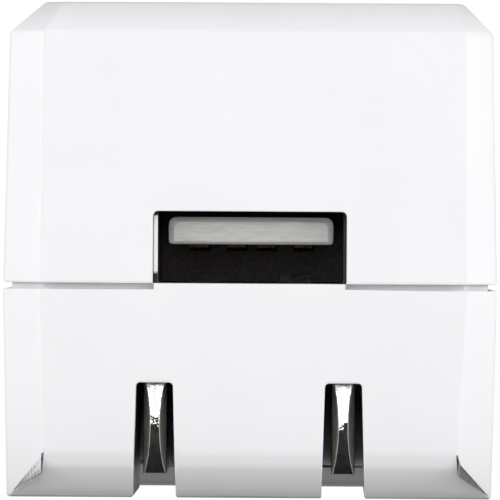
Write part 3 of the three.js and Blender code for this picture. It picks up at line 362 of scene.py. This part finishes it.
def cut_edge_painted_light():
    # Painted highlight: the white at the left. Painted shade: the dark brown towards the right, the top
    # and the bottom.
    material, tree, shader, place = new_material("steel_cut_edge_painted_light", "#ffffff", 0.5, 0.0)
    where = parts_of(tree, place)
    right = spread(tree, where["X"], 0, 1, -EDGE_PAINTED_SHADE_X_MM * MM, EDGE_PAINTED_SHADE_X_MM * MM)
    low = spread(tree, where["Z"], 1, 0, *(port_low.z + d * MM for d in EDGE_PAINTED_SHADE_BOTTOM_MM))
    high = spread(tree, where["Z"], 0, 1, *(port_high.z - d * MM for d in EDGE_PAINTED_SHADE_TOP_MM))
    edge_painted_shade = math_of(tree, "MAXIMUM", right, math_of(tree, "MAXIMUM", low, high))
    tint(tree, shader, edge_painted_shade, "#ffffff", "#17110d", 0.2, 0.8)
    torn = speckle(tree, place, 0.14, 3, (1, 1, 0.5))
    relief(tree, shader, torn, 0.006)
    return material


def tongue_polyester():
    material, tree, shader, place = new_material("moulded_polyester_light", "#c4c4c3", 0.5, IOR=1.57)
    grain = speckle(tree, place, 0.2, 3, (0.12, 1, 1))
    tint(tree, shader, grain, "#b6b8b4", "#c6c7c4")
    relief(tree, shader, grain, 0.008)
    return material


def carrier_polyester_painted_shade():
    # Painted shade: the block is drawn dark for the unlit depth of the port.
    material, tree, shader, place = new_material("moulded_polyester_painted_shade", "#403b37", 0.62, IOR=1.57)
    grain = speckle(tree, place, 0.3, 3)
    tint(tree, shader, grain, "#342f2c", "#4d4742")
    relief(tree, shader, grain, 0.01)
    return material


def gold_contact_painted_shade():
    # Painted shade: the gold is drawn almost black, for the shade below the tongue.
    material, tree, shader, place = new_material("gold_flash_on_bronze_painted_shade", "#241a10", 0.45, 1.0)
    wear = speckle(tree, place, 0.5, 4)
    tint(tree, shader, wear, "#1a130c", "#3a2c1a")
    tree.links.new(spread(tree, wear, 0.2, 0.36), shader.inputs["Roughness"])
    relief(tree, shader, wear, 0.004)
    return material


shell_steel = tinned_steel()
shell_edge_painted_light = cut_edge_painted_light()
tongue_light = tongue_polyester()
carrier_painted_shade = carrier_polyester_painted_shade()
contact_gold_painted_shade = gold_contact_painted_shade()
print("socket materials ready")

# %% [markdown]
# ## Materials of the working parts
#
# The parts inside are seen when the case is taken apart. Each is made of what such a part is really
# made of, and its pattern follows how it was made: woven glass under the green solder resist, wound
# wire in rings, drawn strip along its length, and pressed ferrite with an even dark grain.

# %% Rolled and plated metals inside
def strip_metal(name, base, worn, roughness, lines_mm=0.2, along=(1, 0.06, 1)):
    material, tree, shader, place = new_material(name, base, roughness, 1.0)
    lines = speckle(tree, place, lines_mm, 3, along)
    tint(tree, shader, speckle(tree, place, 1.2, 3), worn, base)
    tree.links.new(spread(tree, lines, roughness - 0.08, roughness + 0.1), shader.inputs["Roughness"])
    relief(tree, shader, lines, 0.004)
    return material


spring_bronze = strip_metal("phosphor_bronze_strip", "#c08f5a", "#a57445", 0.34)
screw_zinc = strip_metal("zinc_plated_steel", "#b4b7ba", "#9a9da1", 0.38, 0.3, (1, 1, 1))
lead_tin = strip_metal("tinned_copper_wire", "#c6c6c3", "#a9a8a4", 0.36, 0.3, (1, 1, 0.2))
print("inner metals ready")


# %% Plastics, coatings and ceramics inside
def grained(name, base, other, roughness, grain_mm, depth_mm, ior=1.5, **sockets):
    material, tree, shader, place = new_material(name, base, roughness, IOR=ior, **sockets)
    grain = speckle(tree, place, grain_mm, 4)
    tint(tree, shader, grain, other, base)
    tree.links.new(spread(tree, grain, roughness - 0.06, roughness + 0.08), shader.inputs["Roughness"])
    relief(tree, shader, grain, depth_mm)
    return material


ferrite_black = grained("pressed_ferrite", "#3d3d3f", "#2b2b2d", 0.62, 0.25, 0.02)
bobbin_black = grained("phenolic_bobbin", "#262321", "#1c1a18", 0.5, 0.5, 0.008)
epoxy_black = grained("moulded_epoxy", "#232325", "#1a1a1c", 0.55, 0.18, 0.012)
sleeve_dark = grained("shrunk_pet_sleeve", "#20262f", "#1a1f27", 0.28, 1.2, 0.01, Coat_Weight=0.3)
disc_blue = grained("dipped_epoxy_blue", "#2f67b0", "#28599b", 0.3, 0.9, 0.02, Coat_Weight=0.4)
resistor_green = grained("flameproof_coating_green", "#86a984", "#769a75", 0.6, 0.35, 0.02)
sheet_cream = grained("vulcanised_fibre_cream", "#e6dfc9", "#dcd3b8", 0.65, 0.4, 0.015)
print("inner plastics ready")


# %% Circuit board, tape and wire, whose patterns follow their making
def bands(tree, place, pitch_mm, direction, distortion, detail):
    return add_node(
        tree, "ShaderNodeTexWave",
        {"Scale": 1 / (pitch_mm * MM) / (2 * math.pi), "Distortion": distortion, "Detail": detail},
        {"Vector": place}, wave_type="BANDS", bands_direction=direction,
    ).outputs["Fac"]


def solder_resist():
    material, tree, shader, place = new_material("solder_resist_green", "#2f7340", 0.36, IOR=1.55)
    cloth = math_of(tree, "MULTIPLY", *(bands(tree, place, 0.9, way, 0.4, 1.0) for way in "XY"))
    tint(tree, shader, cloth, "#2a6a3a", "#347c47", 0.1, 0.9)
    relief(tree, shader, cloth, 0.006)
    return material


def wound_pattern(name, base, other, roughness, metallic, pitch_mm, direction):
    material, tree, shader, place = new_material(name, base, roughness, metallic)
    turns = bands(tree, place, pitch_mm, direction, 0.15, 0.0)
    tint(tree, shader, turns, other, base, 0.1, 0.8)
    relief(tree, shader, turns, pitch_mm * 0.35)
    return material


board_green = solder_resist()
copper_turns = wound_pattern("enamelled_copper_turns", "#b5652f", "#7a3f1c", 0.32, 1.0, 0.35, "Z")
tape_yellow = wound_pattern("polyester_tape_yellow", "#e0bd3f", "#d2ac33", 0.36, 0.0, 3.0, "Y")
print("board, wire and tape ready")

# %% [markdown]
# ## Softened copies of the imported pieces
#
# A moulded or stamped edge is never a perfect corner: it is the thin bright line along it that tells
# the eye what it is made of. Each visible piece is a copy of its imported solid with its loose
# triangles merged and its flat faces joined up, whose edges get a Bevel modifier by weight. A rule
# chosen for the piece gives each edge its own radius, so the large eased corners and the crisp rims
# of the openings come from the same modifier.

# %% The softening helper
WELD_MM = 0.0005
JOIN = math.radians(0.6)
LEAST_BEND = math.radians(12)
SMOOTH_BELOW = math.radians(40)


def softened(node, name, radius_rule, widest_mm, segments=4):
    source = nodes[node]
    mesh = bpy.data.meshes.new(name)
    body = bmesh.new()
    body.from_mesh(source.data)
    bmesh.ops.remove_doubles(body, verts=body.verts, dist=WELD_MM * MM)
    bmesh.ops.dissolve_limit(body, angle_limit=JOIN, verts=body.verts, edges=body.edges)
    weights = body.edges.layers.float.new("bevel_weight_edge")
    for edge in body.edges:
        if len(edge.link_faces) != 2:
            continue
        bend = edge.calc_face_angle(0)
        if bend < LEAST_BEND:
            continue
        centre = (edge.verts[0].co + edge.verts[1].co) / 2
        radius = radius_rule(centre / MM, edge, bend)
        edge[weights] = min(1.0, max(radius, 0) / widest_mm)
    for face in body.faces:
        face.smooth = True
    body.to_mesh(mesh)
    body.free()
    piece = bpy.data.objects.new(name, mesh)
    bpy.context.scene.collection.objects.link(piece)
    bevel = piece.modifiers.new("soft_edges", "BEVEL")
    bevel.limit_method = "WEIGHT"
    bevel.width = widest_mm * MM
    bevel.segments = segments
    bevel.use_clamp_overlap = False
    bevel.miter_outer = "MITER_SHARP"
    steady = piece.modifiers.new("flat_faces_stay_flat", "WEIGHTED_NORMAL")
    steady.mode = "FACE_AREA"
    steady.weight = 60
    steady.keep_sharp = True
    mark_sharp(mesh)
    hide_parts(node)
    return piece


def mark_sharp(mesh):
    body = bmesh.new()
    body.from_mesh(mesh)
    for edge in body.edges:
        edge.smooth = len(edge.link_faces) != 2 or edge.calc_face_angle(0) < SMOOTH_BELOW
    body.to_mesh(mesh)
    body.free()


def finish_piece(piece, body, slot, *materials):
    for material in materials:
        piece.data.materials.append(material)
    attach(piece, body)
    print(piece.name, "faces:", len(piece.data.polygons))


def sort_faces(piece, slot_of):
    """Give each face of the piece the material slot that slot_of(face) names."""
    edit = bmesh.new()
    edit.from_mesh(piece.data)
    for face in edit.faces:
        face.material_index = slot_of(face)
    edit.to_mesh(piece.data)
    edit.free()


# %% [markdown]
# ## The two case halves
#
# The outer corners are eased by about a quarter of a millimetre, as a polished mould leaves them.
# The rims of the seam, the port and the slots are nearly sharp.
#
# One fault is still open: at each lower front corner of the lower half, where the foot's slope meets
# the corner chamfer, the softened piece shows a dark torn sliver. Its cause wasn't found.

# %% Rules for the case's edges
half_width = case_high.x / MM
half_depth = case_high.y / MM
top = case_high.z / MM
seam = seam_z / MM
lip_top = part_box("lower_case")[1].z / MM
corner_line = half_width + half_depth - 3.5
PARTING = 14.05
LIP_REACH = 2.6


def near(value, target, reach=0.06):
    return abs(value - target) < reach


def on_a_side(at):
    beside = abs(at.x) > half_width - 1.0 or abs(at.y) > half_depth - 0.9
    return beside or abs(at.x) + abs(at.y) > corner_line


def on_outside(at):
    return on_a_side(at) or at.z > top - 1.4


def upper_radius(at, edge, bend):
    along = (edge.verts[0].co - edge.verts[1].co) / MM
    if not on_outside(at):
        return 0
    if near(at.z, seam):
        return 0.05
    if abs(at.x) < 7 and at.y < 0 and at.z < seam + 6:
        return 0.07 if at.y < -half_depth + 0.3 else 0
    if at.z < seam + 3 and abs(at.x) + abs(at.y) < corner_line and abs(along.z) > 0.5:
        return 0
    if abs(along.z) > 6:
        return 0.2 if abs(at.y) > half_depth - 0.8 else 0.3
    if at.z > top - 1.0:
        return 0.25
    return 0.2


def lower_radius(at, edge, bend):
    along = (edge.verts[0].co - edge.verts[1].co) / MM
    if near(at.z, 0, 0.1):
        return 0.22 if on_a_side(at) or at.y < -half_depth + 4 else 0.12
    if near(at.z, PARTING):
        return 0.05 if on_a_side(at) and abs(at.x) + abs(at.y) > 16.5 else 0
    if near(at.z, lip_top, LIP_REACH) or not on_a_side(at):
        return 0
    if at.y < 0 and 4 < abs(at.x) < 9:
        return 0.14 if at.y < -half_depth + 2.6 else 0
    if at.z < 3.5 and at.y < -half_depth + 4 and abs(along.z) < 3.5:
        return 0.06
    if abs(along.z) > 6:
        return 0.2 if abs(at.y) > half_depth - 0.8 else 0.22
    return 0.2


upper = softened("upper_case", "upper_case_shell", upper_radius, 0.3)
finish_piece(upper, "case", "case_plastic", case_white)
lower = softened("lower_case", "lower_case_shell", lower_radius, 0.3)
finish_piece(lower, "case", "case_plastic", case_white)

# %% [markdown]
# ## Rotor and blades
#
# The rotor is one moulding with both blades set in it. The blades keep a fine burr-free radius along
# their long edges, and their sheared ends take the rough metal.

# %% Rotor and blades
def small_everywhere(radius):
    return lambda at, edge, bend: radius if bend > math.radians(25) else 0


BLADE_END_MM = 1.3

rotor = softened("prong_rotor", "rotor_moulding", small_everywhere(0.1), 0.1, 2)
finish_piece(rotor, "prongs", "rotor_plastic", rotor_white)


def blade_part(face):
    """0 for the rolled faces, 1 for the sheared end, 2 for the coined slopes beside it."""
    behind = face.calc_center_median().y > blade_low.y + BLADE_END_MM * MM
    if behind or abs(face.normal.x) > 0.99:
        return 0
    return 1 if abs(face.normal.x) < 0.9 else 2


for side in ("left", "right"):
    blade = softened(f"{side}_blade", f"{side}_blade_stamping", small_everywhere(0.07), 0.07, 2)
    finish_piece(blade, "prongs", "nickel_brass", blade_face, blade_end, blade_slope_painted_shade)
    sort_faces(blade, blade_part)

# %% [markdown]
# ## Socket
#
# The shell's cut front edge is a second material, whose colour holds a painted highlight at the left
# and painted shade elsewhere, while the plated faces inside stay dark.

# %% Socket pieces
def shell_part(face):
    """1 for the cut front edge, 0 for the plated faces."""
    return int(face.normal.y < -0.9 and face.calc_center_median().y < port_low.y + 0.1 * MM)


shell = softened("usb_shell", "socket_shell", small_everywhere(0.03), 0.03, 2)
finish_piece(shell, "case", "tinned_steel", shell_steel, shell_edge_painted_light)
sort_faces(shell, shell_part)

def tongue_radius(at, edge, bend):
    """The tongue's two lower corners are rounder than its other edges."""
    lowest = at.z < tongue_low.z / MM + 0.1
    outermost = abs(at.x) > tongue_high.x / MM - 0.25
    along = (edge.verts[0].co - edge.verts[1].co) / MM
    if lowest and outermost and abs(along.y) > 1:
        return 0.3
    return 0.08 if bend > math.radians(25) else 0


tongue = softened("usb_tongue", "socket_tongue", tongue_radius, 0.3, 3)
finish_piece(tongue, "case", "tongue_plastic", tongue_light)

# %% [markdown]
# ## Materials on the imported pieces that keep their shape
#
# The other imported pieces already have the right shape. Each takes the material of its real part.

# %% Give each remaining piece its material
KEPT = {
    "rotor_clamp": clamp_white,
    "clamp_screw_left": screw_zinc,
    "clamp_screw_right": screw_zinc,
    "detent_spring": spring_bronze,
    "contact_spring_left": spring_bronze,
    "contact_spring_right": spring_bronze,
    "usb_carrier": carrier_painted_shade,
    "usb_contact_1": contact_gold_painted_shade,
    "usb_contact_2": contact_gold_painted_shade,
    "usb_contact_3": contact_gold_painted_shade,
    "usb_contact_4": contact_gold_painted_shade,
    "circuit_board": board_green,
    "transformer_bobbin": bobbin_black,
    "transformer_winding": tape_yellow,
    "transformer_core_front": ferrite_black,
    "transformer_core_back": ferrite_black,
    "bulk_capacitor_1": sleeve_dark,
    "bulk_capacitor_2": sleeve_dark,
    "output_capacitor_1": sleeve_dark,
    "output_capacitor_2": sleeve_dark,
    "filter_choke_core": ferrite_black,
    "filter_choke_winding": copper_turns,
    "fuse_resistor": resistor_green,
    "output_diode": epoxy_black,
    "y_capacitor": disc_blue,
    "controller_chip": epoxy_black,
    "bridge_rectifier": epoxy_black,
    "insulating_sheet": sheet_cream,
}
for name, material in KEPT.items():
    nodes[name].data.materials.clear()
    nodes[name].data.materials.append(material)
print("kept pieces given a material:", len(KEPT))

# %% [markdown]
# ## Stage
#
# A plain pale floor and a white surround. The floor that the camera sees is evenly white. The light
# that it throws back at the object is kept low near the charger's foot, so the slope under the front
# wall falls off into shade. Shiny faces reflect the floor as nearly black, which keeps the lower part
# of the blade ends dark. Seen from below, the floor is clear, so the underside can be looked at.

# %% Floor
UNDER, NEAR, FAR = 0.24, 0.28, 0.80
BOUNCE_MM = (-6.0, 7.5)
NEAR_STOPS = (0.16, 0.42)
REFLECTED = 0.05


def pale_floor():
    material = bpy.data.materials.new("studio_floor")
    material.use_nodes = True
    tree = material.node_tree
    tree.nodes.clear()
    place = add_node(tree, "ShaderNodeTexCoord").outputs["Object"]
    folded = add_node(tree, "ShaderNodeVectorMath", links={0: place}, operation="ABSOLUTE")
    outside = add_node(
        tree, "ShaderNodeVectorMath", {1: case_high - Vector((0, 0, case_high.z))},
        {0: folded.outputs["Vector"]}, operation="SUBTRACT",
    )
    sides = parts_of(tree, outside.outputs["Vector"])
    reach = math_of(tree, "MAXIMUM", sides["X"], sides["Y"])
    along = spread(tree, reach, 0, 1, *(d * MM for d in BOUNCE_MM))
    bounce = add_node(tree, "ShaderNodeValToRGB", links={"Fac": along})
    ramp = bounce.color_ramp
    ramp.elements[0].color = (UNDER, UNDER, UNDER, 1)
    ramp.elements[1].color = (FAR, FAR, FAR, 1)
    for at in NEAR_STOPS:
        ramp.elements.new(at).color = (NEAR, NEAR, NEAR, 1)
    seen = add_node(tree, "ShaderNodeEmission", {"Color": colour("#ffffff"), "Strength": 1.0})
    thrown = add_node(tree, "ShaderNodeEmission", links={"Color": bounce.outputs["Color"]})
    rays = add_node(tree, "ShaderNodeLightPath").outputs
    strength = spread(tree, rays["Is Glossy Ray"], 1.0, REFLECTED, 0, 1)
    tree.links.new(strength, thrown.inputs["Strength"])
    mixed = add_node(tree, "ShaderNodeMixShader")
    tree.links.new(rays["Is Camera Ray"], mixed.inputs[0])
    tree.links.new(thrown.outputs["Emission"], mixed.inputs[1])
    tree.links.new(seen.outputs["Emission"], mixed.inputs[2])
    from_below = add_node(tree, "ShaderNodeNewGeometry").outputs["Backfacing"]
    one_sided = add_node(tree, "ShaderNodeMixShader", links={0: from_below, 1: mixed.outputs["Shader"]})
    clear = add_node(tree, "ShaderNodeBsdfTransparent")
    tree.links.new(clear.outputs["BSDF"], one_sided.inputs[2])
    output = add_node(tree, "ShaderNodeOutputMaterial")
    tree.links.new(one_sided.outputs["Shader"], output.inputs["Surface"])
    return material


floor_mesh = bpy.data.meshes.new("floor")
slab = bmesh.new()
bmesh.ops.create_grid(slab, x_segments=1, y_segments=1, size=1.5)
bmesh.ops.translate(slab, verts=slab.verts, vec=(0, 0, -0.01 * MM))
slab.to_mesh(floor_mesh)
slab.free()
floor = bpy.data.objects.new("floor", floor_mesh)
floor_mesh.materials.append(pale_floor())
bpy.context.scene.collection.objects.link(floor)


# %% Surround
def surround(seen, above, below):
    world = bpy.data.worlds.new("studio")
    bpy.context.scene.world = world
    world.use_nodes = True
    tree = world.node_tree
    tree.nodes.clear()
    direction = add_node(tree, "ShaderNodeTexCoord").outputs["Generated"]
    height = spread(tree, parts_of(tree, direction)["Z"], 0, 1, -0.2, 0.5)
    sky = add_node(tree, "ShaderNodeValToRGB", links={"Fac": height})
    sky.color_ramp.elements[0].color = (below, below, below, 1)
    sky.color_ramp.elements[1].color = (above, above, above * 1.01, 1)
    ray = add_node(tree, "ShaderNodeLightPath").outputs["Is Camera Ray"]
    shown = add_node(tree, "ShaderNodeBackground", {"Color": (1, 1, 1, 1), "Strength": seen})
    lit = add_node(tree, "ShaderNodeBackground", {"Strength": 1.0}, {"Color": sky.outputs["Color"]})
    mixed = add_node(tree, "ShaderNodeMixShader")
    tree.links.new(ray, mixed.inputs[0])
    tree.links.new(lit.outputs["Background"], mixed.inputs[1])
    tree.links.new(shown.outputs["Background"], mixed.inputs[2])
    output = add_node(tree, "ShaderNodeOutputWorld")
    tree.links.new(mixed.outputs["Shader"], output.inputs["Surface"])


surround(seen=1.05, above=0.43, below=0.24)
print("stage ready")

# %% [markdown]
# ## Light
#
# Three soft boxes. A tall narrow one in front reaches from the table to well above the charger, and
# its reflection is the bright upper part of the blade ends. A square one at each side is stronger, so
# that the corner chamfers come out brighter than the front.

# %% Soft boxes
def soft_box(name, at, size, power):
    light = bpy.data.lights.new(name, "AREA")
    light.shape = "RECTANGLE"
    light.size, light.size_y = size
    light.energy = power
    lamp = bpy.data.objects.new(name, light)
    lamp.location = at
    lamp.rotation_euler = (middle - Vector(at)).to_track_quat("-Z", "Y").to_euler()
    bpy.context.scene.collection.objects.link(lamp)


soft_box("front_box", (0.0, -0.70, 0.315), (0.14, 0.60), 0.9)
soft_box("left_box", (-0.62, -0.27, 0.15), (0.4, 0.4), 2.36)
soft_box("right_box", (0.62, -0.27, 0.15), (0.4, 0.4), 2.52)

# %% [markdown]
# ## Camera
#
# A long lens, a little over half a metre in front, slightly to the right of the middle and about
# half-way up the case, for a flat, square view.

# %% Camera
DISTANCE = 0.525
SIDE_OFFSET = 0.0054
EYE_HEIGHT = 0.0174
ROLL = math.radians(0.35)
LENS_MM = 563.5
AIM_X, AIM_Z = 0.00002, 0.01673

camera_data = bpy.data.cameras.new("camera")
camera_data.sensor_width = 36
camera_data.lens = LENS_MM
camera_data.clip_start = 0.01
camera = bpy.data.objects.new("camera", camera_data)
camera.location = (SIDE_OFFSET, case_low.y - DISTANCE, EYE_HEIGHT)
aim = Vector((AIM_X, case_low.y, AIM_Z)) - camera.location
camera.rotation_euler = aim.to_track_quat("-Z", "Y").to_euler()
camera.rotation_euler.rotate_axis("Z", ROLL)
bpy.context.scene.collection.objects.link(camera)
bpy.context.scene.camera = camera
bpy.context.scene.view_settings.view_transform = "Standard"
print("camera ready")
